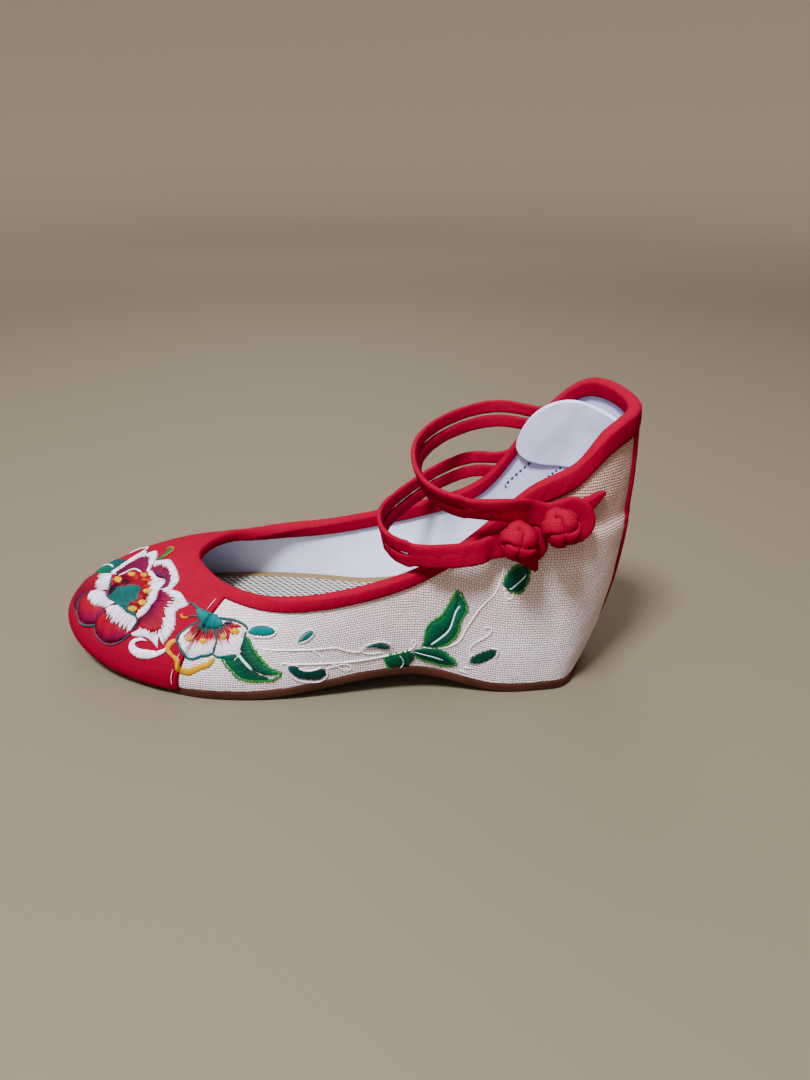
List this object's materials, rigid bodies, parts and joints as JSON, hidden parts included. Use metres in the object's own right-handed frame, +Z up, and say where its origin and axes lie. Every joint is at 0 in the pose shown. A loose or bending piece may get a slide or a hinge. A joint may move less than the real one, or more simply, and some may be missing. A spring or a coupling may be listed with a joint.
{
  "type": "strappy cloth shoe",
  "caption": "Left embroidered cloth shoe with a red toe cap, bound collar, hidden wedge heel, thin sole and doubled cord ankle straps that close on knot buttons.",
  "frame": {"origin": "middle of the shoe's box, on the floor under the sole", "axes": "+X from heel to toe, +Y to the outer side of a left foot, +Z up"},
  "size_m": [0.2406, 0.0904, 0.1194],
  "materials": {
    "linen": "coarse pinkish cream plain weave",
    "red_cloth": "matt red plain weave cloth",
    "white_lining": "soft white lining",
    "footbed": "woven footbed cloth with tan border",
    "brown_rubber": "matt dark brown"
  },
  "bodies": {
    "root": {"outsole": "brown_rubber", "insole": "footbed", "upper": "linen", "toe_cap": "red_cloth", "heel_strip": "red_cloth", "collar_binding": "red_cloth", "heel_pad": "white_lining", "strap_rear": "red_cloth", "strap_front": "red_cloth", "knot_rear": "red_cloth", "knot_front": "red_cloth"}
  },
  "joints": []
}
